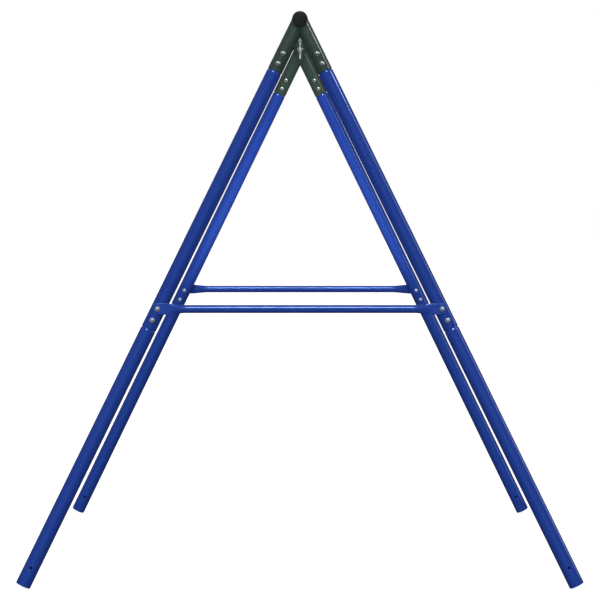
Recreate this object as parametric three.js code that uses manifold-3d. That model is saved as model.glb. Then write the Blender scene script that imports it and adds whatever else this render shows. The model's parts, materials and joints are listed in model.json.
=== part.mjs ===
// A single-seat garden swing frame: two A-frames of round steel tube joined by a top beam, with two
// eye bolts under the beam for a swing seat. Millimetres, +Z up, ground at z = 0. The beam runs along
// Y, the front A-frame stands at -Y, and both A-frames lean a little outwards. The origin is on the
// ground in the middle of the frame.
import * as THREE from "three";
import { mergeVertices } from "three/addons/utils/BufferGeometryUtils.js";
import Module from "manifold-3d";

const wasm = await Module();
wasm.setup();

// Gaps and roundness
const GAP = 0.3; // left between touching pieces
const PAST = 1; // how far a cutter runs past a face
const TUBE_SIDES = 20;
const BAR_SIDES = 16;
const BOLT_SIDES = 8;
const WASHER_SIDES = 12;
const RING_STEPS = 16;

// Tube shared by the legs, the beam and the connectors
const TUBE_R = 25.4;
const WALL = 2;
const BORE_R = TUBE_R - WALL;
const NECK_R = BORE_R - GAP; // swaged end that slides into the next tube
const NECK_BORE_R = NECK_R - WALL;
const SHOULDER = 7; // length over which the neck swells to the full tube

// The A-frames
const APEX_Y = 656; // from the middle of the beam to where the legs' axes meet
const HALF_ANGLE = THREE.MathUtils.degToRad(25.9); // leg from the A-frame's centre line
const LEAN = THREE.MathUtils.degToRad(3.66); // A-frame from upright

// Distances down a leg's axis from the apex
const STUB_END = 195; // end of the connector's stub
const TOP_BOLTS = [132, 170];
const TOP_NECK = 108; // where the upper leg's neck starts
const MID_END = 1159; // end of the upper leg
const MID_BOLTS = [1087, 1129];
const MID_NECK = 1062; // where the lower leg's neck starts
const FOOT_HOLE = 2038; // anchor hole through the foot
const LEG_END = 2105;

// Connector and beam, distances along Y from the apex
const SLEEVE_OUT = 39; // outwards, to the end cap
const SLEEVE_IN = 100; // inwards, to the beam
const BEAM_NECK = 80; // length of the beam's neck inside the sleeve
const BEAM_SCREW = 58; // inwards, screw through the top of sleeve and neck

// End cap
const CAP_FLANGE = 5;
const CAP_LIP = 0.5; // how far the flange stands proud of the sleeve
const CAP_ROUND = 4.5;
const CAP_PLUG = 18;
const CAP_WALL = 2.5;

// Crossbar: round tube whose ends are pressed flat and bolted to the legs
const BAR_R = 13.45;
const BAR_WALL = 1.5;
const BAR_FLAT = 2; // half thickness of the pressed end
const BAR_SPREAD = 5.5; // how much half height the pressing adds
const BAR_PAST_BOLT = 14;
const BAR_FLAT_LENGTH = 33;
const BAR_TAPER = 72;
const BAR_TAPER_STEPS = 3;
const BAR_CORNER_R = 12;

// Fasteners, all M8
const BOLT_R = 4;
const HOLE_R = 4.5;
const HEAD_R = 7.5;
const HEAD_H = 5;
const NUT_HEX_R = 7.5; // over the corners
const NUT_HEX_H = 6.5;
const NUT_FLANGE_R = 8.5;
const NUT_FLANGE_H = 1.8;
const NUT_DOME_R = 6;
const NUT_BORE = 9;
const BOLT_IN_NUT = 7;
const SCREW_LENGTH = 16; // of a beam screw under its head
const SINK = 0.5; // how far a nut's parts run into each other where they join
const HEAD_EDGE = 1; // height of a head's straight edge

// Eye bolts
const EYE_Y = 230;
const EYE_WIRE_R = 3.75;
const EYE_RING_R = 11.5; // to the middle of the wire
const EYE_WASHER_R = 12;
const EYE_WASHER_H = 2;

// Height of the beam: the rims of the four feet touch the ground
const legDown = Math.cos(HALF_ANGLE) * Math.cos(LEAN);
const BEAM_Z = LEG_END * legDown + TUBE_R * Math.sqrt(1 - legDown * legDown);

const coat = { roughness: 0.35, metalness: 0.1 };
const finishes = {
  blue: () => new THREE.MeshStandardMaterial({ color: 0x2a4194, ...coat }),
  green: () => new THREE.MeshStandardMaterial({ color: 0x32413c, ...coat }),
  plastic: () => new THREE.MeshStandardMaterial({ color: 0x262c2c, roughness: 0.5, metalness: 0 }),
  zinc: () => new THREE.MeshStandardMaterial({ color: 0xb9bdb8, roughness: 0.3, metalness: 1 }),
};

// A named mesh of one piece.
function piece(name, geometry, finish) {
  const mesh = new THREE.Mesh(geometry, finishes[finish]());
  mesh.name = name;
  return mesh;
}

// The solid of a closed geometry.
function solid(geometry) {
  const bare = geometry.clone();
  bare.deleteAttribute("normal");
  bare.deleteAttribute("uv");
  const merged = mergeVertices(bare, 1e-4);
  const mesh = new wasm.Mesh({
    numProp: 3,
    vertProperties: new Float32Array(merged.attributes.position.array),
    triVerts: new Uint32Array(merged.index.array),
  });
  return new wasm.Manifold(mesh);
}

// The geometry of a solid.
function geometryOf(manifold) {
  const mesh = manifold.getMesh();
  const geometry = new THREE.BufferGeometry();
  geometry.setAttribute("position", new THREE.BufferAttribute(mesh.vertProperties, 3));
  geometry.setIndex(new THREE.BufferAttribute(mesh.triVerts, 1));
  geometry.computeVertexNormals();
  return geometry;
}

// A solid turned about the Y axis from [radius, y] points. A profile that leaves the axis closes on itself.
function turned(points, sides) {
  const profile = points.map(([r, y]) => new THREE.Vector2(r, y));
  if (points[0][0] > 0) profile.push(profile[0].clone());
  return new THREE.LatheGeometry(profile, sides);
}

// A full cylinder between two points, for cutting.
function rod(radius, from, to, sides) {
  const geometry = new THREE.CylinderGeometry(radius, radius, from.distanceTo(to), sides);
  const along = to.clone().sub(from).normalize();
  geometry.applyQuaternion(new THREE.Quaternion().setFromUnitVectors(new THREE.Vector3(0, 1, 0), along));
  const middle = from.clone().add(to).multiplyScalar(0.5);
  return solid(geometry.translate(middle.x, middle.y, middle.z));
}

const point = (x, y, z) => new THREE.Vector3(x, y, z);

// A bolt hole across a tube that runs along Y, drilled along Z at height y.
const crossHole = (y) => rod(HOLE_R, point(0, y, -2 * TUBE_R), point(0, y, 2 * TUBE_R), BOLT_SIDES);

// The same hole through the tube's upper wall only.
const topHole = (y) => rod(HOLE_R, point(0, y, 0), point(0, y, 2 * TUBE_R), BOLT_SIDES);

// A leg tube along +Y: a neck from neckStart, a sloping shoulder, then the full tube down to end.
function legTube(neckStart, shoulderStart, end, holes) {
  const profile = [
    [NECK_R, neckStart],
    [NECK_R, shoulderStart + GAP],
    [TUBE_R, shoulderStart + GAP + SHOULDER],
    [TUBE_R, end],
    [BORE_R, end],
    [BORE_R, shoulderStart + SHOULDER + WALL],
    [NECK_BORE_R, shoulderStart + WALL],
    [NECK_BORE_R, neckStart],
  ];
  let tube = solid(turned(profile, TUBE_SIDES));
  for (const y of holes) tube = tube.subtract(crossHole(y));
  return geometryOf(tube);
}

// The beam along Y, with a neck at each end, a screw hole in each neck and a hole for each eye bolt.
function beam() {
  const shoulder = APEX_Y - SLEEVE_IN;
  const half = [
    [TUBE_R, shoulder - GAP - SHOULDER],
    [NECK_R, shoulder - GAP],
    [NECK_R, shoulder + BEAM_NECK],
    [NECK_BORE_R, shoulder + BEAM_NECK],
    [NECK_BORE_R, shoulder - WALL],
    [BORE_R, shoulder - SHOULDER - WALL],
  ];
  const otherHalf = half.map(([r, y]) => [r, -y]).reverse();
  let tube = solid(turned([...half, ...otherHalf], TUBE_SIDES));
  for (const side of [-1, 1]) {
    tube = tube.subtract(topHole(side * (APEX_Y - BEAM_SCREW)));
    tube = tube.subtract(crossHole(side * EYE_Y));
  }
  return geometryOf(tube);
}

// Leg directions in an A-frame's own axes: X across, +Y outwards along the beam, origin at the apex.
const outward = point(0, Math.cos(LEAN), Math.sin(LEAN));
const downPlane = point(0, Math.sin(LEAN), -Math.cos(LEAN));
const legAxis = (hand) =>
  downPlane
    .clone()
    .multiplyScalar(Math.cos(HALF_ANGLE))
    .add(point(hand * Math.sin(HALF_ANGLE), 0, 0));

// A group whose +Y runs down a leg and whose +Z faces out of the A-frame.
function legAxes(hand) {
  const down = legAxis(hand);
  const across = down.clone().cross(outward);
  const group = new THREE.Group();
  group.setRotationFromMatrix(new THREE.Matrix4().makeBasis(across, down, outward));
  return group;
}

// The connector: a sleeve for the beam with two leg stubs welded under it.
function connector() {
  const onLeg = (hand, distance) => legAxis(hand).multiplyScalar(distance);
  const apex = point(0, 0, 0);
  const inner = point(0, -SLEEVE_IN, 0);
  const outer = point(0, SLEEVE_OUT, 0);
  let body = rod(TUBE_R, inner, outer, TUBE_SIDES);
  let bores = rod(BORE_R, onLeg(-1, TUBE_R / 2), onLeg(-1, STUB_END + WALL), TUBE_SIDES);
  bores = bores.add(rod(BORE_R, onLeg(1, TUBE_R / 2), onLeg(1, STUB_END + WALL), TUBE_SIDES));
  bores = bores.subtract(rod(TUBE_R, inner, outer, TUBE_SIDES));
  for (const hand of [-1, 1]) body = body.add(rod(TUBE_R, apex, onLeg(hand, STUB_END), TUBE_SIDES));
  body = body.subtract(bores);
  const boreEnds = [point(0, -SLEEVE_IN - PAST, 0), point(0, SLEEVE_OUT + PAST, 0)];
  body = body.subtract(rod(BORE_R, ...boreEnds, TUBE_SIDES));
  const reach = outward.clone().multiplyScalar(2 * TUBE_R);
  for (const hand of [-1, 1])
    for (const distance of TOP_BOLTS) {
      const middle = onLeg(hand, distance);
      body = body.subtract(rod(HOLE_R, middle.clone().sub(reach), middle.clone().add(reach), BOLT_SIDES));
    }
  return geometryOf(body.subtract(topHole(-BEAM_SCREW)));
}

// The end cap along Y: a round-edged disc with a hollow plug that fits the sleeve.
function endCap() {
  const face = SLEEVE_OUT + GAP + CAP_FLANGE;
  const back = SLEEVE_OUT + GAP;
  const flangeR = TUBE_R + CAP_LIP;
  const rim = [0, 30, 60, 90].map((degrees) => {
    const a = THREE.MathUtils.degToRad(degrees);
    return [flangeR - CAP_ROUND + CAP_ROUND * Math.cos(a), face - CAP_ROUND + CAP_ROUND * Math.sin(a)];
  });
  const profile = [
    [0, back],
    [NECK_R - CAP_WALL, back],
    [NECK_R - CAP_WALL, back - CAP_PLUG],
    [NECK_R, back - CAP_PLUG],
    [NECK_R, back],
    [flangeR, back],
    ...rim,
    [0, face],
  ];
  return turned(profile, TUBE_SIDES);
}

// A tube wall's point after pressing: amount 0 is round, 1 is fully flat. y is the pressed direction.
function pressed(y, z, amount) {
  const r = Math.hypot(y, z);
  const halfThickness = THREE.MathUtils.lerp(r, r - BAR_R + BAR_FLAT, amount);
  const spread = 1 + (amount * BAR_SPREAD) / r;
  return [THREE.MathUtils.clamp(y, -halfThickness, halfThickness), z * spread];
}

// The crossbar along X, with +Y facing out of the A-frame, and a bolt hole in each flat end.
function crossbar(boltX) {
  const half = boltX + BAR_PAST_BOLT;
  const flatFrom = half - BAR_FLAT_LENGTH;
  const steps = [...Array(BAR_TAPER_STEPS + 1).keys()];
  const taper = steps.map((i) => flatFrom - BAR_TAPER * (1 - i / BAR_TAPER_STEPS));
  const stations = [...taper, half];
  const all = [...stations.map((x) => -x).reverse(), ...stations];
  const profile = [...all.map((x) => [BAR_R, x]), ...all.map((x) => [BAR_R - BAR_WALL, x]).reverse()];
  const geometry = turned(profile, BAR_SIDES).rotateZ(-Math.PI / 2);
  const place = geometry.attributes.position;
  for (let i = 0; i < place.count; i++) {
    const x = place.getX(i);
    const t = THREE.MathUtils.smoothstep(Math.abs(x), flatFrom - BAR_TAPER, flatFrom);
    const [y, z] = pressed(place.getY(i), place.getZ(i), t);
    place.setXYZ(i, x, y, z);
  }
  const outline = new THREE.Shape();
  const height = BAR_R + BAR_SPREAD + PAST;
  outline.moveTo(-half + BAR_CORNER_R, -height);
  outline.absarc(half - BAR_CORNER_R, -height + BAR_CORNER_R, BAR_CORNER_R, -Math.PI / 2, 0);
  outline.absarc(half - BAR_CORNER_R, height - BAR_CORNER_R, BAR_CORNER_R, 0, Math.PI / 2);
  outline.absarc(-half + BAR_CORNER_R, height - BAR_CORNER_R, BAR_CORNER_R, Math.PI / 2, Math.PI);
  outline.absarc(-half + BAR_CORNER_R, -height + BAR_CORNER_R, BAR_CORNER_R, Math.PI, 1.5 * Math.PI);
  const options = { depth: 4 * BAR_R, bevelEnabled: false, curveSegments: 4 };
  const slab = new THREE.ExtrudeGeometry(outline, options);
  slab.translate(0, 0, -2 * BAR_R).rotateX(Math.PI / 2);
  let bar = solid(geometry).intersect(solid(slab));
  for (const x of [-boltX, boltX])
    bar = bar.subtract(rod(HOLE_R, point(x, -2 * BAR_R, 0), point(x, 2 * BAR_R, 0), BOLT_SIDES));
  return geometryOf(bar);
}

// A bolt or screw along +Y: its domed head bears on y = 0, and its tip is at y = length.
function bolt(length) {
  const dome = [90, 45, 0].map((degrees) => {
    const a = THREE.MathUtils.degToRad(degrees);
    return [HEAD_R * Math.cos(a), -HEAD_EDGE - (HEAD_H - HEAD_EDGE) * Math.sin(a)];
  });
  dome[0][0] = 0;
  return turned([...dome, [HEAD_R, 0], [BOLT_R, 0], [BOLT_R, length], [0, length]], BOLT_SIDES);
}

// A washer face at y = 0 with a hexagon on it, along +Y.
function hexNut(washerR, washerH) {
  const washer = solid(turned([[0, 0], [washerR, 0], [washerR, washerH], [0, washerH]], WASHER_SIDES));
  const hexagon = new THREE.CylinderGeometry(NUT_HEX_R, NUT_HEX_R, NUT_HEX_H + SINK, 6);
  return washer.add(solid(hexagon.translate(0, washerH + (NUT_HEX_H - SINK) / 2, 0)));
}

// A flanged nut with a domed crown and a blind bore, along +Y from y = 0.
function domedNut() {
  const hexTop = NUT_FLANGE_H + NUT_HEX_H;
  const dome = [0, 45, 90].map((degrees) => {
    const a = THREE.MathUtils.degToRad(degrees);
    return [NUT_DOME_R * Math.cos(a), hexTop + NUT_DOME_R * Math.sin(a)];
  });
  dome[dome.length - 1][0] = 0;
  const crown = solid(turned([[0, hexTop - SINK], [NUT_DOME_R, hexTop - SINK], ...dome], BOLT_SIDES));
  const bore = rod(HOLE_R, point(0, -PAST, 0), point(0, NUT_BORE, 0), BOLT_SIDES);
  return geometryOf(hexNut(NUT_FLANGE_R, NUT_FLANGE_H).add(crown).subtract(bore));
}

// The open nut on a wide washer that clamps an eye bolt from below, along +Y from y = 0.
function clampNut() {
  const top = EYE_WASHER_H + NUT_HEX_H;
  const bore = rod(HOLE_R, point(0, -PAST, 0), point(0, top + PAST, 0), BOLT_SIDES);
  return geometryOf(hexNut(EYE_WASHER_R, EYE_WASHER_H).subtract(bore));
}

const EYE_DROP = TUBE_R + GAP + EYE_WASHER_H + NUT_HEX_H + GAP; // beam's axis to the top of the ring

// An eye bolt: the ring stands in the beam's own plane, and the shank goes up through the beam.
function eyeBolt() {
  const ringZ = -EYE_DROP - EYE_RING_R - EYE_WIRE_R;
  const ring = new THREE.TorusGeometry(EYE_RING_R, EYE_WIRE_R, BOLT_SIDES, RING_STEPS);
  ring.rotateY(Math.PI / 2).translate(0, 0, ringZ);
  const top = TUBE_R + GAP + BOLT_IN_NUT;
  const shank = rod(BOLT_R, point(0, 0, ringZ + EYE_RING_R), point(0, 0, top), BOLT_SIDES);
  return geometryOf(solid(ring).add(shank));
}

// A through bolt and its domed nut in a group whose +Z runs out of the tube, at a point on the tube's axis.
// The bolt also clamps a part of thickness extra under the nut.
function boltSet(name, at, extra = 0) {
  const group = new THREE.Group();
  group.position.copy(at);
  const seat = TUBE_R + GAP;
  const long = bolt(2 * seat + extra + BOLT_IN_NUT);
  long.translate(0, -seat, 0);
  const nut = domedNut();
  nut.translate(0, seat + extra, 0);
  for (const geometry of [long, nut]) geometry.rotateX(Math.PI / 2);
  group.add(piece(`bolt_${name}`, long, "zinc"), piece(`nut_${name}`, nut, "zinc"));
  return group;
}

// One leg with its two tubes and four bolt sets.
function leg(end, hand, handName) {
  const group = legAxes(hand);
  const where = `${end}_${handName}`;
  const upper = legTube(TOP_NECK, STUB_END, MID_END, [...TOP_BOLTS, ...MID_BOLTS]);
  const lower = legTube(MID_NECK, MID_END, LEG_END, [...MID_BOLTS, FOOT_HOLE]);
  group.add(piece(`upper_leg_${where}`, upper, "blue"), piece(`lower_leg_${where}`, lower, "blue"));
  const barThickness = 2 * BAR_FLAT + GAP;
  TOP_BOLTS.forEach((s, i) => group.add(boltSet(`${where}_top_${i + 1}`, point(0, s, 0))));
  MID_BOLTS.forEach((s, i) =>
    group.add(boltSet(`${where}_middle_${i + 1}`, point(0, s, 0), i === 0 ? barThickness : 0)),
  );
  return group;
}

// One A-frame with its connector, cap, crossbar and beam screw, in its own axes.
function aFrame(end) {
  const group = new THREE.Group();
  group.add(piece(`connector_${end}`, connector(), "green"));
  group.add(piece(`end_cap_${end}`, endCap(), "plastic"));
  const down = MID_BOLTS[0] * Math.cos(HALF_ANGLE);
  const bar = piece(`crossbar_${end}`, crossbar(MID_BOLTS[0] * Math.sin(HALF_ANGLE)), "blue");
  bar.position.copy(downPlane).multiplyScalar(down);
  bar.position.addScaledVector(outward, TUBE_R + GAP + BAR_FLAT);
  bar.rotation.x = LEAN;
  group.add(bar);
  const screw = piece(`screw_beam_${end}`, bolt(SCREW_LENGTH).rotateX(-Math.PI / 2), "zinc");
  screw.position.set(0, -BEAM_SCREW, TUBE_R + GAP);
  group.add(screw);
  const hands = end === "front" ? { left: 1, right: -1 } : { left: -1, right: 1 };
  for (const [handName, hand] of Object.entries(hands)) group.add(leg(end, hand, handName));
  return group;
}

// An eye bolt with its clamping nut below the beam and its domed nut above.
function eyeSet(end, y) {
  const group = new THREE.Group();
  group.position.set(0, y, BEAM_Z);
  const below = clampNut().rotateX(-Math.PI / 2).translate(0, 0, -TUBE_R - GAP);
  const above = domedNut().rotateX(Math.PI / 2).translate(0, 0, TUBE_R + GAP);
  group.add(piece(`eye_bolt_${end}`, eyeBolt(), "zinc"));
  group.add(piece(`eye_lower_nut_${end}`, below, "zinc"));
  group.add(piece(`eye_upper_nut_${end}`, above, "zinc"));
  return group;
}

function swingFrame() {
  const frame = new THREE.Group();
  const top = piece("top_beam", beam(), "green");
  top.position.z = BEAM_Z;
  frame.add(top);
  for (const [end, side] of [["front", -1], ["rear", 1]]) {
    const half = aFrame(end);
    half.position.set(0, side * APEX_Y, BEAM_Z);
    if (side < 0) half.rotation.z = Math.PI;
    frame.add(half, eyeSet(end, side * EYE_Y));
  }
  return frame;
}

export default swingFrame();
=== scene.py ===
"""Looks for the swing frame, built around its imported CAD.

Every tube, cap, crossbar and fastener gets a detailed mesh of its own, in the place and the size of its
CAD node. Metres, +Z up, the beam along Y, the front A-frame at -Y."""
import json
import math
import random

import bmesh
import bpy
from mathutils import Matrix, Vector


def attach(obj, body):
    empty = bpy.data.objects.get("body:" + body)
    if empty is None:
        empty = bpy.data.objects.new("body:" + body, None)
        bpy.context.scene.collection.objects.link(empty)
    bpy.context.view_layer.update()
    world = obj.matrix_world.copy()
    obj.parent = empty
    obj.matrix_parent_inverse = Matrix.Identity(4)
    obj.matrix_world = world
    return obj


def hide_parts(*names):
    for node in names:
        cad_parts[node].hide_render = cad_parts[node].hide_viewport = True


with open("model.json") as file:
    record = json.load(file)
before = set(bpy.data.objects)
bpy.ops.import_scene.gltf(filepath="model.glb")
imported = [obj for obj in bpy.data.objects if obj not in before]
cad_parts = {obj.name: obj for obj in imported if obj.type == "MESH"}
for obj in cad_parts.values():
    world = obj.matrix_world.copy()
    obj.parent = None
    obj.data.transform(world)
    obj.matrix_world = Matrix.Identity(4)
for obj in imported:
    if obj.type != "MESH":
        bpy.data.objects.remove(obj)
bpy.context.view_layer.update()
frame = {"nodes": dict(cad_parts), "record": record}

MM = 0.001
NODES = frame["nodes"]
MOUNTS = {mount["name"]: mount for mount in frame["record"]["mounts"]}
ENDS = {"front": -1, "rear": 1}  # which side of Y = 0
HANDS = ("left", "right")
ORIGIN = Vector()
X, Y, Z = Vector((1, 0, 0)), Vector((0, 1, 0)), Vector((0, 0, 1))


# ---------------------------------------------------------------- measuring the CAD


def distances_of(node, origin, direction):
    """The distance of each of a CAD node's corners from origin along direction."""
    return [(v.co - origin).dot(direction) for v in NODES[node].data.vertices]


def reach(node, origin, direction):
    """Lowest and highest distance of a CAD node's corners from origin along direction."""
    distances = distances_of(node, origin, direction)
    return min(distances), max(distances)


def middle(node, origin, direction):
    """The distance of the middle of a CAD node from origin along direction."""
    return sum(reach(node, origin, direction)) / 2


def placed(origin, x, y, z):
    """The matrix of a local frame with its origin there and those three axes."""
    return Matrix.Translation(origin) @ Matrix((x, y, z)).transposed().to_4x4()


class Leg:
    """A leg's own frame: Z down its axis from the apex, Y out of the A-frame."""

    def __init__(self, end, hand, down, out):
        self.down, self.out, self.across = down, out, out.cross(down)
        node = f"lower_leg_{end}_{hand}"
        centre = middle(node, ORIGIN, out) * out + middle(node, ORIGIN, self.across) * self.across
        self.apex = centre - down * (centre.x / down.x)
        self.matrix = placed(self.apex, self.across, out, down)

    def at(self, distance):
        return self.apex + self.down * distance


class AFrame:
    """One A-frame: its two legs, its normal, and its apex on the beam's axis."""

    def __init__(self, end):
        self.bar = f"crossbar_{end}"
        self.along = Y * ENDS[end]  # outwards along the beam
        down = {hand: Vector(MOUNTS[f"foot_{end}_{hand}"]["axis"]).normalized() for hand in HANDS}
        out = down["left"].cross(down["right"]).normalized()
        if out.dot(self.along) < 0:
            out.negate()
        self.out = out
        self.up = -(down["left"] + down["right"]).normalized()
        self.legs = {hand: Leg(end, hand, down[hand], out) for hand in HANDS}
        self.apex = self.legs["left"].apex
        self.matrix = placed(self.apex, self.along.cross(Z), self.along, Z)

    def bar_centre(self):
        return middle(self.bar, ORIGIN, self.out) * self.out + middle(self.bar, ORIGIN, self.up) * self.up


a_frames = {end: AFrame(end) for end in ENDS}
FRONT = a_frames["front"]
FRONT_LEG = FRONT.legs["left"]

TUBE_R = (reach("top_beam", ORIGIN, X)[1] - reach("top_beam", ORIGIN, X)[0]) / 2
BEAM_Z = middle("top_beam", ORIGIN, Z)
WALL = 2 * MM
GAP = 0.3 * MM  # between a tube's end and the shoulder of the next
NECK_R = TUBE_R - WALL - GAP
SHOULDER = 8 * MM  # length over which a neck swells to the full tube
EDGE_R = 0.5 * MM  # rounding of every cut tube end
TUBE_STEPS = 96
BOLT_STEPS = 48
NUT_STEPS = 72


# ---------------------------------------------------------------- mesh building


def arc(r, z, radius, start, stop, steps=4):
    """Points [r, z] on an arc in a lathe's profile, angles in degrees from +r towards +z."""
    angles = [math.radians(start + (stop - start) * i / steps) for i in range(steps + 1)]
    return [(r + radius * math.cos(a), z + radius * math.sin(a)) for a in angles]


def lathe(profile, steps):
    """Rings about Z for [r, z] points. A point on the axis becomes a pole."""
    turn = [2 * math.pi * i / steps for i in range(steps)]
    return [
        [Vector((r * math.cos(a), r * math.sin(a), z)) for a in turn] if r > 0 else [Vector((0, 0, z))]
        for r, z in profile
    ]


class Shape:
    """Gathers closed skins into one mesh. A skin is a row of rings of points, joined by faces."""

    def __init__(self):
        self.points, self.faces, self.finishes = [], [], []

    def skin(self, rings, closed=False, finish=None):
        """finish gives a material number for the faces after ring i, and 0 is used without it."""
        starts = []
        for ring in rings:
            starts.append((len(self.points), len(ring)))
            self.points.extend(ring)
        following = starts[1:] + starts[:1] if closed else starts[1:]
        for k, ((a, a_count), (b, b_count)) in enumerate(zip(starts, following)):
            count = max(a_count, b_count)
            for i in range(count):
                j = (i + 1) % count
                corners = (a + i % a_count, a + j % a_count, b + j % b_count, b + i % b_count)
                self.faces.append(tuple(dict.fromkeys(corners)))
                self.finishes.append(finish(k) if finish else 0)
        return self

    def mesh(self, name, sharp=35):
        made = bpy.data.meshes.new(name)
        made.from_pydata(self.points, [], self.faces)
        made.polygons.foreach_set("material_index", self.finishes)
        return finished(made, sharp)


def finished(mesh, sharp=35):
    """Faces turned outwards and shaded smooth, with edges sharper than that angle left crisp."""
    work = bmesh.new()
    work.from_mesh(mesh)
    bmesh.ops.recalc_face_normals(work, faces=work.faces)
    work.to_mesh(mesh)
    work.free()
    mesh.shade_smooth()
    mesh.set_sharp_from_angle(angle=math.radians(sharp))
    mesh.update()
    return mesh


def with_modifiers(mesh, *settings):
    """The mesh after modifiers, each given as (type, {property: value}), and none left on it."""
    holder = bpy.data.objects.new("holder", mesh)
    bpy.context.scene.collection.objects.link(holder)
    for kind, values in settings:
        modifier = holder.modifiers.new(kind.lower(), kind)
        for key, value in values.items():
            setattr(modifier, key, value)
    depsgraph = bpy.context.evaluated_depsgraph_get()
    result = bpy.data.meshes.new_from_object(holder.evaluated_get(depsgraph))
    result.name = mesh.name
    bpy.data.objects.remove(holder)
    return result


def combined(mesh, operation, cutter):
    """The mesh joined with, cut by or kept within another, as an exact boolean."""
    tool = bpy.data.objects.new("tool", cutter)
    bpy.context.scene.collection.objects.link(tool)
    result = with_modifiers(
        mesh, ("BOOLEAN", {"operation": operation, "solver": "EXACT", "object": tool})
    )
    bpy.data.objects.remove(tool)
    return result


def drilled(mesh, radius, at):
    """The mesh with a round hole right through it along Y."""
    half_length = 2 * TUBE_R
    profile = [(0, -half_length), (radius, -half_length), (radius, half_length), (0, half_length)]
    drill = Shape().skin(lathe(profile, BOLT_STEPS)).mesh("drill")
    drill.transform(Matrix.Translation(at) @ Matrix.Rotation(math.pi / 2, 4, "X"))
    return combined(mesh, "DIFFERENCE", drill)


def eased(t):
    """0 to 1 with a soft start and end, and held outside that range."""
    t = min(1, max(0, t))
    return t * t * (3 - 2 * t)


def swell(r0, r1, z0, z1, steps=10):
    """A smooth shoulder from one radius to another."""
    shares = [i / steps for i in range(steps + 1)]
    return [(r0 + (r1 - r0) * eased(t), z0 + (z1 - z0) * t) for t in shares]


def cut_end(outer, inner, z):
    """The rounded rim of a tube cut at z that faces +Z, from its outside to its bore."""
    return arc(outer - EDGE_R, z - EDGE_R, EDGE_R, 0, 90) + arc(
        inner + EDGE_R, z - EDGE_R, EDGE_R, 90, 180
    )


def cut_start(outer, inner, z):
    """The rounded rim of a tube cut at z that faces -Z, from its bore to its outside."""
    return arc(inner + EDGE_R, z + EDGE_R, EDGE_R, 180, 270) + arc(
        outer - EDGE_R, z + EDGE_R, EDGE_R, 270, 360
    )


# ---------------------------------------------------------------- tubes

PAINT, BARE = 0, 1  # material numbers of a tube: coated outside, bare steel in the bore


def tube_mesh(name, neck_start, shoulder, end, rings=()):
    """A tube with a swaged neck at its start that slips into the tube before it."""
    first = shoulder + GAP
    outside = cut_start(NECK_R, NECK_R - WALL, neck_start)
    outside += swell(NECK_R, TUBE_R, first, first + SHOULDER)
    outside += [(TUBE_R, z) for z in rings]
    rim = cut_end(TUBE_R, TUBE_R - WALL, end)
    bore = swell(NECK_R - WALL, TUBE_R - WALL, first + WALL / 2, first + SHOULDER + WALL / 2)
    profile = outside + rim + bore[::-1]
    bore_from = len(outside) + len(rim) - 1
    return Shape().skin(
        lathe(profile, TUBE_STEPS),
        closed=True,
        finish=lambda k: BARE if k >= bore_from else PAINT,
    ).mesh(name)


PAST_SHOULDER = 50 * MM  # below a lower leg's shoulder, its only corners before the foot are the hole's
HOLE_RING_PITCH = 2 * MM  # between the rings that keep the tube's faces short round the hole


def leg_meshes():
    """The upper and the lower leg tube in a leg's own frame, the lower one with its anchor hole."""
    apex, down = FRONT_LEG.apex, FRONT_LEG.down
    upper_start, upper_end = reach("upper_leg_front_left", apex, down)
    lower_start, lower_end = reach("lower_leg_front_left", apex, down)
    stub_end = reach("connector_front", apex, down)[1]
    upper = tube_mesh("upper_leg", upper_start, stub_end, upper_end)
    distances = distances_of("lower_leg_front_left", apex, down)
    around = [d for d in distances if upper_end + PAST_SHOULDER < d < lower_end - EDGE_R]
    hole, hole_r = (min(around) + max(around)) / 2, (max(around) - min(around)) / 2
    rings = [hole + i * HOLE_RING_PITCH for i in range(-6, 7)]
    lower = tube_mesh("lower_leg", lower_start, upper_end, lower_end, rings)
    return upper, finished(drilled(lower, hole_r, (0, 0, hole)))


def beam_mesh():
    """The top beam about Z, with a neck and a shoulder at each end."""
    neck_end = reach("top_beam", ORIGIN, Y)[1]
    shoulder = reach("connector_rear", ORIGIN, Y)[0] - GAP
    half = swell(TUBE_R, NECK_R, shoulder - SHOULDER, shoulder)
    half += cut_end(NECK_R, NECK_R - WALL, neck_end)
    outside = len(half)
    deep = shoulder - WALL / 2
    half += swell(NECK_R - WALL, TUBE_R - WALL, deep, deep - SHOULDER)
    rings = lathe(half + [(r, -z) for r, z in half[::-1]], TUBE_STEPS)

    def finish(k):
        return BARE if outside <= k < len(rings) - outside else PAINT

    return Shape().skin(rings, closed=True, finish=finish).mesh("beam")


# ---------------------------------------------------------------- connector

BEAD_R = 1.8 * MM
BEAD_PITCH = 2.4 * MM  # from one ripple of a weld to the next
BEAD_STEP = 0.4 * MM
BEAD_SIDES = 14
CLEAR_OF_COPE = 70 * MM  # down a stub's axis, past the whole of its coped end


def bead(path, shape):
    """A rippled weld bead along a path of points, with tapered ends."""
    length = sum((b - a).length for a, b in zip(path, path[1:]))
    rings, done, side = [], 0.0, None
    for i, point in enumerate(path):
        if i:
            done += (point - path[i - 1]).length
        ahead = (path[min(i + 1, len(path) - 1)] - path[max(i - 1, 0)]).normalized()
        side = side or ahead.orthogonal()
        side = (side - ahead * ahead.dot(side)).normalized()
        other = ahead.cross(side)
        phase = done / BEAD_PITCH
        ripple = 1 + 0.16 * (phase - math.floor(phase)) ** 0.6 + 0.05 * math.sin(2.3 * phase)
        end = min(1, 0.35 + done / BEAD_R, 0.35 + (length - done) / BEAD_R)
        radius = BEAD_R * ripple * end
        turn = [2 * math.pi * k / BEAD_SIDES for k in range(BEAD_SIDES)]
        rings.append([point + radius * (math.cos(a) * side + math.sin(a) * other) for a in turn])
    shape.skin([[path[0]]] + rings + [[path[-1]]])


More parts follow.
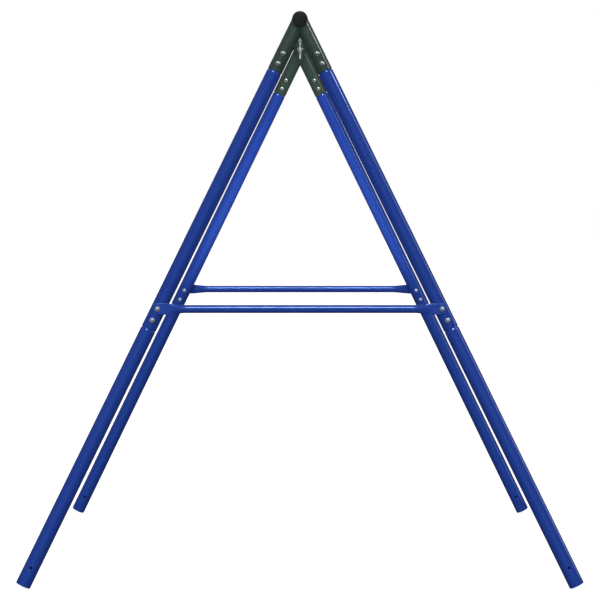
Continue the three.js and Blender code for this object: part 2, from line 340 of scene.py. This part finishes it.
def evenly(path, step):
    """The same path with a point every step."""
    points, left = [path[0].copy()], step
    for a, b in zip(path, path[1:]):
        part = (b - a).length
        at = left
        while at <= part:
            points.append(a.lerp(b, at / part))
            at += step
        left = at - part
    return points


def connector_mesh():
    """Sleeve, two coped stubs and the weld beads between them, in an A-frame's frame: Y outwards along
    the beam, Z up, origin at the apex."""
    shape = Shape()
    to_local = FRONT.matrix.inverted()
    inner, outer = reach("connector_front", FRONT.apex, FRONT.along)
    profile = cut_end(TUBE_R, TUBE_R - WALL, outer) + cut_start(TUBE_R, TUBE_R - WALL, inner)
    bore_at = len(profile) // 2 - 1
    turn = Matrix.Rotation(-math.pi / 2, 4, "X")
    rings = [[turn @ p for p in ring] for ring in lathe(profile, TUBE_STEPS)]
    shape.skin(rings, closed=True, finish=lambda k: BARE if k == bore_at else PAINT)
    out = (to_local.to_3x3() @ FRONT.out).normalized()
    seams = {}
    for leg in FRONT.legs.values():
        down = (to_local.to_3x3() @ leg.down).normalized()
        end = reach("connector_front", leg.apex, leg.down)[1]
        across = down.cross(out)
        hand = 1 if down.x > 0 else -1

        def start(radius, angle, sleeve_r):
            """How far down the stub's axis a line on it leaves the sleeve and the other stub."""
            p = radius * (math.cos(angle) * out + math.sin(angle) * across)
            a = down.x**2 + down.z**2
            b = p.x * down.x + p.z * down.z
            c = p.x**2 + p.z**2 - sleeve_r**2
            on_sleeve = (-b + math.sqrt(max(0, b * b - a * c))) / a
            on_middle = -p.x / down.x
            return p, max(on_sleeve, on_middle), on_sleeve >= on_middle

        steps = TUBE_STEPS * 2
        angles = [2 * math.pi * i / steps for i in range(steps)]
        sleeve_r = TUBE_R - WALL / 2
        outside = [start(TUBE_R, a, sleeve_r) for a in angles]
        inside = [start(TUBE_R - WALL, a, sleeve_r) for a in angles]
        rings = [[p + down * t for p, t, _ in outside]]
        rings.append([p + down * max(t, CLEAR_OF_COPE) for p, t, _ in outside])
        for r, z in cut_end(TUBE_R, TUBE_R - WALL, end):
            rings.append([r * (math.cos(a) * out + math.sin(a) * across) + down * z for a in angles])
        bore_at = len(rings) - 1
        rings.append([p + down * t for p, t, _ in inside])
        shape.skin(rings, closed=True, finish=lambda k, at=bore_at: BARE if k == at else PAINT)

        seam = []
        for i in range(steps):
            p, t, on_sleeve = start(TUBE_R, angles[i], TUBE_R)
            seam.append((p + down * t, on_sleeve))
        first = next(i for i in range(steps) if seam[i][1] and not seam[i - 1][1])
        ordered = seam[first:] + seam[:first]
        seams[hand] = [p for p, on_sleeve in ordered if on_sleeve]
        if hand == 1:
            crotch = [p for p, on_sleeve in ordered if not on_sleeve]
            crotch = [seams[hand][-1]] + crotch + [seams[hand][0]]
            bead(evenly(crotch, BEAD_STEP), shape)
    for path in seams.values():
        bead(evenly(path, BEAD_STEP), shape)
    return shape.mesh("connector", sharp=42)


# ---------------------------------------------------------------- cap

CAP_ROUNDING = 0.72  # of the flange's thickness
CAP_WALL = 2.5 * MM
CAP_DISC_R = 17.8 * MM  # a low disc raised on the face
CAP_STEP = 0.8 * MM  # the disc's height
CAP_DITCH = 1.2 * MM
RIB_FROM = 4 * MM  # from the plug's end
RIB_PITCH = 4.5 * MM
RIB_RISE, RIB_FALL = 0.9 * MM, 1.5 * MM


def cap_mesh():
    """The end cap about Z: a flange with a broad rounded edge and a raised disc on its face, and a hollow
    plug with three soft ribs."""
    back_end, face = reach("end_cap_front", FRONT.apex, FRONT.along)
    flange_r = reach("end_cap_front", FRONT.apex, X)[1]
    flange_back = reach("connector_front", FRONT.apex, FRONT.along)[1] + GAP
    rounding = (face - flange_back) * CAP_ROUNDING
    plug_r, between_ribs = NECK_R, NECK_R - 2 * EDGE_R
    bore_r = plug_r - CAP_WALL
    profile = [(0, flange_back), (bore_r, flange_back), (bore_r, back_end + EDGE_R)]
    profile += arc(between_ribs, back_end + EDGE_R, EDGE_R, 270, 360)
    for i in range(3):
        foot = back_end + RIB_FROM + RIB_PITCH * i
        crest = foot + RIB_RISE
        profile += [(between_ribs, foot), (plug_r, crest), (between_ribs, crest + RIB_FALL)]
    profile += [(plug_r - EDGE_R, flange_back), (flange_r - EDGE_R, flange_back)]
    profile += arc(flange_r - EDGE_R, flange_back + EDGE_R * 0.9, EDGE_R, 290, 360, 3)
    low = face - CAP_STEP
    profile += arc(flange_r - rounding, low - rounding, rounding, 0, 90, 12)
    disc_edge = CAP_DISC_R + CAP_STEP
    profile += [(disc_edge + CAP_DITCH, low), (disc_edge, face - CAP_STEP * 0.95)]
    profile += arc(CAP_DISC_R, low, CAP_STEP, 0, 90, 5) + [(0, face)]
    return Shape().skin(lathe(profile, TUBE_STEPS)).mesh("end_cap", sharp=50)


# ---------------------------------------------------------------- crossbar


def flattened(radius, half_thickness, half_width, amount, steps):
    """A tube's outline part-way from a circle (0) to pressed flat (1): points (out, up)."""
    straight = half_width - half_thickness
    quarter = math.pi * half_thickness
    perimeter = 4 * straight + 2 * quarter
    points = []
    for i in range(steps):
        angle = 2 * math.pi * i / steps
        along = perimeter * i / steps
        if along < straight:
            flat = (half_thickness, along)
        elif along < straight + quarter:
            a = (along - straight) / half_thickness
            flat = (half_thickness * math.cos(a), straight + half_thickness * math.sin(a))
        elif along < 3 * straight + quarter:
            flat = (-half_thickness, 2 * straight + quarter - along)
        elif along < 3 * straight + 2 * quarter:
            a = math.pi + (along - 3 * straight - quarter) / half_thickness
            flat = (half_thickness * math.cos(a), -straight + half_thickness * math.sin(a))
        else:
            flat = (half_thickness, along - perimeter)
        circle = (radius * math.cos(angle), radius * math.sin(angle))
        points.append(tuple(c + (f - c) * amount for c, f in zip(circle, flat)))
    return points


BAR_R = 13.45 * MM
BAR_WALL = 1.5 * MM
BAR_HALF = 2 * MM  # half thickness of a pressed end
BAR_FLAT = 33 * MM  # length pressed flat
BAR_TAPER = 78 * MM  # length over which the tube flattens
BAR_TAPER_STEPS = 26
BAR_CORNER = 12 * MM
BAR_HOLE_R = 4.5 * MM


def crossbar_mesh(bolt_at):
    """A tube along X with both ends pressed flat, rounded off and drilled. Y faces out of the A-frame."""
    centre = FRONT.bar_centre()
    half = reach(FRONT.bar, centre, FRONT.out.cross(FRONT.up))[1]
    half_width = reach(FRONT.bar, centre, FRONT.up)[1]
    flat_from = half - BAR_FLAT
    shares = [i / BAR_TAPER_STEPS for i in range(BAR_TAPER_STEPS + 1)]
    stations = [flat_from - BAR_TAPER * (1 - t) for t in shares]
    stations += [half - BAR_CORNER - 2 * MM, half + 4 * MM]  # the last is past the cut
    stations = [-x for x in stations[::-1]] + stations
    outside, inside = [], []
    for x in stations:
        amount = eased((abs(x) - flat_from + BAR_TAPER) / BAR_TAPER)
        for skin, wall in ((outside, 0), (inside, BAR_WALL)):
            outline = flattened(BAR_R - wall, BAR_HALF - wall, half_width - wall, amount, TUBE_STEPS)
            skin.append([Vector((x, a, b)) for a, b in outline])
    count = len(outside)

    def finish(k):
        return BARE if count <= k < 2 * count - 1 else PAINT

    bar = Shape().skin(outside + inside[::-1], closed=True, finish=finish).mesh("crossbar")
    end, high = half - BAR_CORNER, half_width + MM - BAR_CORNER
    corners = []
    for x, z, start in ((1, -1, -90), (1, 1, 0), (-1, 1, 90), (-1, -1, 180)):
        corners += arc(x * end, z * high, BAR_CORNER, start, start + 90, 12)
    slab = [[Vector((x, y, z)) for x, z in corners] for y in (-2 * BAR_R, 2 * BAR_R)]
    slab = [[Vector((0, -2 * BAR_R, 0))], *slab, [Vector((0, 2 * BAR_R, 0))]]
    bar = combined(bar, "INTERSECT", Shape().skin(slab).mesh("slab"))
    for x in (-bolt_at, bolt_at):
        bar = drilled(bar, BAR_HOLE_R, (x, 0, 0))
    return finished(bar, sharp=40)


# ---------------------------------------------------------------- fasteners

BOLT_R = 4 * MM
HEAD_R = 7.5 * MM
HEAD_H = 5 * MM
HEAD_RIM_H = 1.1 * MM  # the upright edge under a head's dome
HEAD_STEP = 0.25 * MM  # how far the dome stands back from that edge
HEX_R = 7.5 * MM  # over the corners
HEX_H = 6.5 * MM
FLANGE_R = 8.5 * MM
FLANGE_H = 1.8 * MM
DOME_R = 6 * MM
EYE_WIRE_R = 3.75 * MM
EYE_STEPS, EYE_WIRE_STEPS = 72, 28
EYE_WASHER_R = 12 * MM
EYE_WASHER_H = 2 * MM
SEAT = 0.05 * MM  # a fastener's height over the face that it bears on


def seated(ring, way):
    """A flat ring bent along Z, down (-1) or up (1), onto a tube that runs along Y."""
    return [
        Vector((p.x, p.y, p.z + way * (TUBE_R - math.sqrt(max(0, TUBE_R**2 - p.x**2))))) for p in ring
    ]


def hexagon(angle, radius):
    """Distance from the centre to a hexagon's side, with slightly rounded corners."""
    flat = radius * math.cos(math.pi / 6)
    part = (angle + math.pi / 6) % (math.pi / 3) - math.pi / 6
    return min(flat / math.cos(part), radius * 0.985)


def nut_rings(seed, washer_r, washer_h, dome, on_tube=True):
    """A nut about Z that bears on z = 0: washer face, chamfered hexagon, and a dome or an open thread."""
    spin = random.Random(seed).uniform(0, math.pi / 3)
    turn = [2 * math.pi * i / NUT_STEPS for i in range(NUT_STEPS)]
    top = washer_h + HEX_H
    top_r = HEX_R * math.cos(math.pi / 6) * 0.97  # the flat that the chamfer leaves
    soft = 0.35 * MM  # rounding of the washer's edge

    def around(r, z):
        """A ring whose radius and height are each a number or a function of the angle."""
        ring = []
        for a in turn:
            radius, height = (value(a) if callable(value) else value for value in (r, z))
            ring.append(Vector((radius * math.cos(a + spin), radius * math.sin(a + spin), height)))
        return ring

    def side(a):
        return hexagon(a, HEX_R)

    def chamfer(a):
        return (side(a) - top_r) * 0.55

    low = 0.55 * washer_h if dome else washer_h - soft
    foot = [(BOLT_R + 0.2 * MM, 0), (washer_r - 0.2 * MM, 0), (washer_r, 0.25 * MM)]
    rings = [[Vector((0, 0, 0))]] + [around(r, z) for r, z in foot]
    if on_tube:
        rings = [seated(ring, -1) for ring in rings]
    outline = [(washer_r, low), (washer_r - soft * 0.7, low + soft * 0.8)]
    if dome:
        outline += [(lambda a: side(a) + 0.35 * MM, washer_h - 0.05 * MM)]
    else:
        outline += [(washer_r - 2 * soft, washer_h), (lambda a: side(a) + 0.25 * MM, washer_h)]
    outline += [
        (side, washer_h + 0.3 * MM),
        (side, lambda a: top - chamfer(a) - 0.15 * MM),
        (lambda a: side(a) - 0.12 * MM, lambda a: top - chamfer(a)),
        (top_r, top),
    ]
    if dome:
        outline += [(DOME_R + 0.05 * MM, top + 0.02 * MM), (DOME_R - 0.1 * MM, top + 0.35 * MM)]
        outline += arc(0, top, DOME_R - 0.02 * MM, 8, 82, 12)
        pole = top + DOME_R
    else:
        bore, pole = BOLT_R + 0.1 * MM, top - 0.8 * MM
        outline += [(bore + 0.8 * MM, top), (bore, pole)]
    return rings + [around(r, z) for r, z in outline] + [[Vector((0, 0, pole))]]


def bolt_mesh(name, head_top, tip):
    """A bolt about Z, pointing to +Z, whose domed head ends just under head_top and bears on a tube."""
    top = head_top + GAP - SEAT
    base = top + HEAD_H
    edge = base - HEAD_RIM_H
    dome_r = HEAD_R - HEAD_STEP
    bend = [math.radians(90 * i / 12) for i in range(1, 12)]
    profile = [(0, top)]
    profile += [(dome_r * math.sin(a), top + (edge - top) * (1 - math.cos(a))) for a in bend]
    profile += [(dome_r, edge), (HEAD_R, edge + 0.3 * MM)]
    under = lathe([(HEAD_R, base), (BOLT_R, base)], BOLT_STEPS)
    shank = [(BOLT_R, base + 2 * MM), (BOLT_R, tip - MM), (BOLT_R - MM, tip), (0, tip)]
    rings = lathe(profile, BOLT_STEPS) + [seated(ring, 1) for ring in under] + lathe(shank, BOLT_STEPS)
    return Shape().skin(rings).mesh(name, sharp=40)


def nut_mesh(name, *settings):
    """A nut's mesh. The settings are those of nut_rings, and the name also seeds its turn."""
    return Shape().skin(nut_rings(name.replace("nut_", "", 1), *settings)).mesh(name, sharp=32)


def eye_bolt_mesh(ring_centre, ring_r, wire_r, neck_top, top):
    """A forged eye about the X axis at that height, melted into a shank that runs up Z."""
    shape = Shape()
    rings = []
    for i in range(EYE_STEPS):
        a = 2 * math.pi * i / EYE_STEPS
        radial = Vector((0, math.cos(a), math.sin(a)))
        wire = Vector((0, 0, ring_centre)) + radial * ring_r
        turn = [2 * math.pi * k / EYE_WIRE_STEPS for k in range(EYE_WIRE_STEPS)]
        rings.append([wire + wire_r * (math.cos(b) * radial + math.sin(b) * X) for b in turn])
    shape.skin(rings, closed=True)
    neck_low, collar, collar_r = ring_centre + ring_r - MM, neck_top - 1.5 * MM, BOLT_R * 1.3
    neck = [(0, neck_low), (BOLT_R * 0.9, neck_low), (BOLT_R * 1.15, collar - 2 * MM)]
    neck += [(collar_r, collar), (collar_r, neck_top), (BOLT_R, neck_top + 0.3 * MM)]
    neck += [(BOLT_R, top - MM), (BOLT_R - MM, top), (0, top)]
    shape.skin(lathe(neck, BOLT_STEPS))
    mesh = shape.mesh("eye_bolt")
    mesh = with_modifiers(
        mesh,
        ("REMESH", {"mode": "VOXEL", "voxel_size": 0.45 * MM, "use_smooth_shade": True}),
        ("SMOOTH", {"factor": 0.5, "iterations": 5}),
    )
    return finished(mesh, sharp=60)


# ---------------------------------------------------------------- materials


class Finish:
    """A procedural material: a Principled surface and short ways to wire noise into it."""

    def __init__(self, name, **values):
        self.material = bpy.data.materials.new(name)
        self.material.use_nodes = True
        self.tree = self.material.node_tree
        self.surface = self.tree.nodes["Principled BSDF"]
        for key, value in values.items():
            self.surface.inputs[key.replace("_", " ")].default_value = value
        self.place = self.node("NewGeometry").outputs["Position"]

    def node(self, kind, **inputs):
        made = self.tree.nodes.new("ShaderNode" + kind)
        for key, value in inputs.items():
            self.wire(value, made.inputs[key.replace("_", " ")])
        return made

    def wire(self, value, socket):
        if isinstance(value, bpy.types.NodeSocket):
            self.tree.links.new(value, socket)
        else:
            socket.default_value = value

    def noise(self, scale, detail=2.0, roughness=0.5, stretch=None):
        place = self.place
        if stretch:
            scaled = self.node("VectorMath")
            scaled.operation = "MULTIPLY"
            self.wire(place, scaled.inputs[0])
            scaled.inputs[1].default_value = stretch
            place = scaled.outputs[0]
        made = self.node("TexNoise", Vector=place, Scale=scale, Detail=detail, Roughness=roughness)
        return made.outputs["Fac"]

    def ranged(self, value, low, high, to_low, to_high):
        limits = {"From_Min": low, "From_Max": high, "To_Min": to_low, "To_Max": to_high}
        return self.node("MapRange", Value=value, **limits).outputs["Result"]

    def maths(self, operation, a, b):
        made = self.node("Math")
        made.operation = operation
        self.wire(a, made.inputs[0])
        self.wire(b, made.inputs[1])
        return made.outputs[0]

    def mixed(self, share, a, b):
        made = self.node("MixRGB")
        self.wire(share, made.inputs["Fac"])
        self.wire(a, made.inputs["Color1"])
        self.wire(b, made.inputs["Color2"])
        return made.outputs["Color"]

    def bump(self, height, distance, strength=1.0, under=None):
        made = self.node("Bump", Height=height, Distance=distance, Strength=strength)
        if under:
            self.wire(under, made.inputs["Normal"])
        return made.outputs["Normal"]

    def facing_up(self, start, stop):
        """0 on sides and undersides, rising to 1 on faces that look up."""
        normal = self.node("NewGeometry").outputs["Normal"]
        split = self.node("SeparateXYZ", Vector=normal).outputs["Z"]
        return self.ranged(split, start, stop, 0.0, 1.0)

    def set(self, key, value):
        self.wire(value, self.surface.inputs[key])


def rgba(r, g, b):
    return (r, g, b, 1.0)


def powder_coat(name, colours, rough, gloss, tint):
    """Baked powder coat: a fine orange peel, faint clouding, and a trace of dust where it looks up.
    colours holds the plain colour, a lighter one and a darker one."""
    coat = Finish(name, Specular_IOR_Level=gloss, Specular_Tint=tint)
    colour, lighter, darker = colours
    cloud = coat.noise(9, 3)
    speck = coat.noise(700, 2, 0.6)
    tone = coat.mixed(coat.ranged(cloud, 0.3, 0.7, 0.0, 1.0), darker, lighter)
    tone = coat.mixed(0.5, colour, tone)
    patches = coat.ranged(coat.noise(60, 4), 0.35, 0.8, 0.0, 0.03)
    dusty = coat.maths("MULTIPLY", coat.facing_up(0.5, 1.0), patches)
    coat.set("Base Color", coat.mixed(dusty, tone, rgba(0.35, 0.35, 0.36)))
    wear = coat.ranged(coat.noise(35, 4), 0.35, 0.75, rough - 0.01, rough + 0.03)
    coat.set("Roughness", coat.maths("ADD", wear, coat.ranged(speck, 0.3, 0.7, -0.02, 0.02)))
    peel = coat.bump(coat.noise(420, 1.5, 0.45), 0.012 * MM, 0.8)
    coat.set("Normal", coat.bump(speck, 0.006 * MM, 0.6, peel))
    return coat.material


def bare_steel():
    """The uncoated bore of a tube: dull grey steel, drawn lines and a little rust bloom."""
    steel = Finish("bare_tube_steel", Metallic=1.0, Specular_IOR_Level=0.5)
    drawn = steel.noise(30, 4, 0.6, stretch=(40, 40, 3))
    bloom = steel.ranged(steel.noise(45, 5), 0.52, 0.75, 0.0, 0.5)
    streaks = steel.ranged(drawn, 0.3, 0.7, 0.0, 1.0)
    base = steel.mixed(streaks, rgba(0.12, 0.12, 0.125), rgba(0.2, 0.2, 0.205))
    steel.set("Base Color", steel.mixed(bloom, base, rgba(0.1, 0.055, 0.035)))
    steel.set("Roughness", steel.ranged(drawn, 0.3, 0.7, 0.42, 0.62))
    steel.set("Normal", steel.bump(drawn, 0.02 * MM))
    return steel.material


def black_plastic():
    """Injection-moulded cap: near black, with a fine spark-eroded grain."""
    plastic = Finish("black_plastic_grain", Specular_IOR_Level=0.35)
    grain = plastic.noise(1600, 3, 0.6)
    cloud = plastic.ranged(plastic.noise(40, 3), 0.3, 0.7, 0.0, 1.0)
    tone = plastic.mixed(cloud, rgba(0.009, 0.012, 0.0125), rgba(0.013, 0.016, 0.0165))
    plastic.set("Base Color", tone)
    plastic.set("Roughness", plastic.ranged(grain, 0.3, 0.7, 0.24, 0.34))
    plastic.set("Normal", plastic.bump(grain, 0.012 * MM, 0.8))
    return plastic.material


def zinc(name, metallic, dull, bright):
    """Zinc plate on turned and forged parts, a little cloudy, with fine handling marks."""
    plate = Finish(name, Metallic=metallic, Specular_IOR_Level=0.5)
    cloud = plate.ranged(plate.noise(180, 4, 0.6), 0.3, 0.7, 0.0, 1.0)
    marks = plate.noise(260, 3, 0.7, stretch=(6, 1, 2))
    plate.set("Base Color", plate.mixed(cloud, dull, bright))
    plate.set("Roughness", plate.ranged(marks, 0.3, 0.75, 0.22, 0.38))
    plate.set("Normal", plate.bump(marks, 0.015 * MM, 0.7))
    return plate.material


FINISHES = {
    "blue_paint": powder_coat(
        "blue_powder_coat",
        (rgba(0.0155, 0.047, 0.292), rgba(0.0168, 0.05, 0.308), rgba(0.0142, 0.044, 0.276)),
        rough=0.17,
        gloss=0.95,
        tint=rgba(0.28, 0.45, 1.0),
    ),
    "green_paint": powder_coat(
        "green_powder_coat",
        (rgba(0.0315, 0.0555, 0.0437), rgba(0.035, 0.061, 0.0485), rgba(0.0285, 0.05, 0.0393)),
        rough=0.28,
        gloss=0.6,
        tint=rgba(0.85, 1.0, 0.9),
    ),
    "black_plastic": black_plastic(),
    "zinc_plate": zinc("zinc_plating", 0.8, rgba(0.54, 0.59, 0.56), rgba(0.74, 0.78, 0.75)),
}
# The mid-leg fasteners and the forged eyes wear finishes of their own over the same slot. The eyes' zinc,
# also worn by the eyes' lower nuts, is painted lighter than the rest to stand in for light lost in the
# shade under the beam.
DULL_ZINC = zinc("dull_zinc_plating", 0.5, rgba(0.4, 0.44, 0.49), rgba(0.54, 0.59, 0.65))
EYE_ZINC_PAINTED_LIGHTER = zinc("forged_eye_zinc_plating", 0.5, rgba(0.72, 0.77, 0.73), rgba(0.84, 0.88, 0.85))
BARE_STEEL = bare_steel()


# ---------------------------------------------------------------- pieces


def piece(node, mesh, matrix, slot):
    """Puts a mesh in the place of a CAD node, with that slot's finish."""
    if not mesh.materials:
        mesh.materials.append(FINISHES[slot])
        if any(polygon.material_index for polygon in mesh.polygons):
            mesh.materials.append(BARE_STEEL)
    made = bpy.data.objects.new(f"{node}_detail", mesh)
    bpy.context.scene.collection.objects.link(made)
    made.matrix_world = matrix
    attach(made, "root")
    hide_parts(node)


upper_leg, lower_leg = leg_meshes()
cap = cap_mesh()
connector = connector_mesh()
first_bolt = FRONT_LEG.at(middle("bolt_front_left_middle_1", FRONT_LEG.apex, FRONT_LEG.down))
bar = crossbar_mesh(abs(first_bolt.x))

piece("top_beam", beam_mesh(), placed(Vector((0, 0, BEAM_Z)), X, -Z, Y), "green_paint")

for end, a_frame in a_frames.items():
    piece(f"connector_{end}", connector, a_frame.matrix, "green_paint")
    cap_place = placed(a_frame.apex, a_frame.along.cross(Z), -Z, a_frame.along)
    piece(f"end_cap_{end}", cap, cap_place, "black_plastic")
    out, up = a_frame.out, a_frame.up
    piece(f"crossbar_{end}", bar, placed(a_frame.bar_centre(), out.cross(up), out, up), "blue_paint")
    for hand, leg in a_frame.legs.items():
        piece(f"upper_leg_{end}_{hand}", upper_leg, leg.matrix, "blue_paint")
        piece(f"lower_leg_{end}_{hand}", lower_leg, leg.matrix, "blue_paint")


def fastener(node, mesh, matrix, finish=None):
    """A plated piece, with a finish of its own where one is given."""
    if finish:
        mesh.materials.append(finish)
    piece(node, mesh, matrix, "zinc_plate")


def fastener_pair(name, centre, out, along, on_tube, finish):
    """The bolt and the domed nut of a CAD pair. out points from head to nut, along lies down the tube."""
    turned = (along.cross(out), along, out)
    head_top, tip = reach(f"bolt_{name}", centre, out)
    bolt = bolt_mesh(f"bolt_{name}", head_top, tip)
    fastener(f"bolt_{name}", bolt, placed(centre, *turned), finish)
    nut_base = reach(f"nut_{name}", centre, out)[0] - GAP + SEAT
    nut = nut_mesh(f"nut_{name}", FLANGE_R, FLANGE_H, True, on_tube)
    fastener(f"nut_{name}", nut, placed(centre + out * nut_base, *turned), finish)


for end, a_frame in a_frames.items():
    for hand, leg in a_frame.legs.items():
        for level, finish in (("top", None), ("middle", DULL_ZINC)):
            for number in (1, 2):
                name = f"{end}_{hand}_{level}_{number}"
                centre = leg.at(middle(f"bolt_{name}", leg.apex, leg.down))
                on_tube = (level, number) != ("middle", 1)  # else on the crossbar's flat end
                fastener_pair(name, centre, leg.out, leg.down, on_tube, finish)

    screw = f"screw_beam_{end}"
    centre = Vector((0, middle(screw, ORIGIN, Y), BEAM_Z))
    head_top, tip = reach(screw, centre, -Z)
    fastener(screw, bolt_mesh(screw, head_top, tip), placed(centre, X, -Y, -Z))

    eye, upper, lower = (f"eye_{part}_{end}" for part in ("bolt", "upper_nut", "lower_nut"))
    centre = Vector((0, middle(eye, ORIGIN, Y), BEAM_Z))
    low, high = reach(eye, centre, Z)
    wire_r = min(reach(eye, centre, X)[1], EYE_WIRE_R)
    ring_r = reach(eye, centre, Y)[1] - wire_r
    lower_from, lower_to = reach(lower, centre, Z)
    forged = eye_bolt_mesh(low + wire_r + ring_r, ring_r, wire_r, lower_from - GAP / 2, high)
    # the eye and its lower nut wear the zinc painted lighter against the shade under the beam
    fastener(eye, forged, placed(centre, X, Y, Z), EYE_ZINC_PAINTED_LIGHTER)
    base = centre + Z * (reach(upper, centre, Z)[0] - GAP + SEAT)
    fastener(upper, nut_mesh(upper, FLANGE_R, FLANGE_H, True), placed(base, X, Y, Z))
    base = centre + Z * (lower_to + GAP - SEAT)
    nut = nut_mesh(lower, EYE_WASHER_R, EYE_WASHER_H, False)
    fastener(lower, nut, placed(base, X, -Y, -Z), EYE_ZINC_PAINTED_LIGHTER)


# ---------------------------------------------------------------- stage, light and camera

scene = bpy.context.scene
scene.view_settings.view_transform = "Standard"

FLOOR_HALF = 60
floor_mesh = bpy.data.meshes.new("floor")
corners = [(x * FLOOR_HALF, y * FLOOR_HALF, 0) for x, y in ((-1, -1), (1, -1), (1, 1), (-1, 1))]
floor_mesh.from_pydata(corners, [], [(0, 1, 2, 3)])
floor = bpy.data.objects.new("floor", floor_mesh)
scene.collection.objects.link(floor)
ground = Finish("pale_floor", Roughness=0.9, Specular_IOR_Level=0.0, Emission_Strength=0.88)
ground.set("Emission Color", rgba(1, 1, 1))
ground.set("Base Color", rgba(0.35, 0.35, 0.35))
floor_mesh.materials.append(ground.material)
floor.visible_diffuse = False
floor.visible_glossy = False

world = bpy.data.worlds.new("studio")
scene.world = world
world.use_nodes = True
tree = world.node_tree


def sky(low, high, at_low, at_high):
    """A grey background shader that brightens with the height of its direction."""
    place = tree.nodes.new("ShaderNodeTexCoord").outputs["Generated"]
    split = tree.nodes.new("ShaderNodeSeparateXYZ")
    tree.links.new(place, split.inputs[0])
    height = tree.nodes.new("ShaderNodeMapRange")
    height.interpolation_type = "SMOOTHSTEP"
    tree.links.new(split.outputs["Z"], height.inputs["Value"])
    for key, value in (("From Min", at_low), ("From Max", at_high), ("To Min", low), ("To Max", high)):
        height.inputs[key].default_value = value
    shader = tree.nodes.new("ShaderNodeBackground")
    tree.links.new(height.outputs["Result"], shader.inputs["Strength"])
    return shader.outputs[0]


def chosen(ray, otherwise, shader):
    """One shader for rays of that kind, and another for the rest."""
    blend = tree.nodes.new("ShaderNodeMixShader")
    tree.links.new(tree.nodes.new("ShaderNodeLightPath").outputs[ray], blend.inputs[0])
    tree.links.new(otherwise, blend.inputs[1])
    tree.links.new(shader, blend.inputs[2])
    return blend.outputs[0]


white = tree.nodes["Background"]
white.inputs["Color"].default_value = rgba(1, 1, 1)
white.inputs["Strength"].default_value = 1.0
fill = sky(low=0.26, high=0.42, at_low=-0.3, at_high=1.0)
reflected = sky(low=0.05, high=0.45, at_low=-0.05, at_high=1.0)
shade = chosen("Is Camera Ray", chosen("Is Glossy Ray", fill, reflected), white.outputs[0])
tree.links.new(shade, tree.nodes["World Output"].inputs["Surface"])


def lamp(name, kind, towards, energy, **settings):
    """A light that comes from that direction."""
    data = bpy.data.lights.new(name, kind)
    data.energy = energy
    for key, value in settings.items():
        setattr(data, key, value)
    made = bpy.data.objects.new(name, data)
    scene.collection.objects.link(made)
    made.rotation_euler = Vector(towards).to_track_quat("Z", "Y").to_euler()
    return made


def strip(name, start, stop, aim, width, energy):
    """A strip light between two points, turned to face a third. It only makes highlights."""
    start, stop = Vector(start), Vector(stop)
    centre = (start + stop) / 2
    along = (stop - start).normalized()
    towards = centre - Vector(aim)
    towards = (towards - towards.dot(along) * along).normalized()
    length = (stop - start).length
    made = lamp(name, "AREA", towards, energy, shape="RECTANGLE", size=width, size_y=length)
    made.matrix_world = placed(centre, along.cross(towards), along, towards)
    made.visible_diffuse = False


for name, towards, energy, width in (
    ("front_fill", (-0.08, -0.98, 0.1), 2.25, 50),
    ("back_fill", (0.1, 0.94, 0.3), 1.3, 50),
    ("top_fill", (0.0, -0.67, 0.743), 0.8, 30),
):
    lamp(name, "SUN", towards, energy, angle=math.radians(width)).visible_glossy = False
# a card under the beam that lights its underside
card = lamp("under_card", "AREA", -Z, 12, shape="RECTANGLE", size=1.0, size_y=0.9)
card.location = (0, 0, 0.9)
card.visible_glossy = False
# the line along the crossbars, then the streaks down the right-hand legs and connector stub
strip("overhead_strip", (-2.3, -13.1, 16.0), (2.3, -13.1, 16.0), (0, 0, 0.95), 2.6, 2250)
strip("right_strip", (2.48, -1.23, 3.65), (3.72, 0.19, 0.52), (0.46, -0.72, 0.95), 0.5, 21)
strip("right_top_strip", (2.45, -1.25, 3.75), (2.6, -1.07, 3.3), (0.04, -0.65, 1.85), 0.6, 13)

camera_data = bpy.data.cameras.new("camera")
camera = bpy.data.objects.new("camera", camera_data)
scene.collection.objects.link(camera)
scene.camera = camera
camera.location = (6.2 * MM, -7.066, BEAM_Z - 0.6252)  # level, and framed by the shift below
camera.rotation_euler = (math.pi / 2, 0, 0)
camera_data.lens = 113.63
camera_data.sensor_width = 36
camera_data.shift_x = -0.0029
camera_data.shift_y = -0.1592
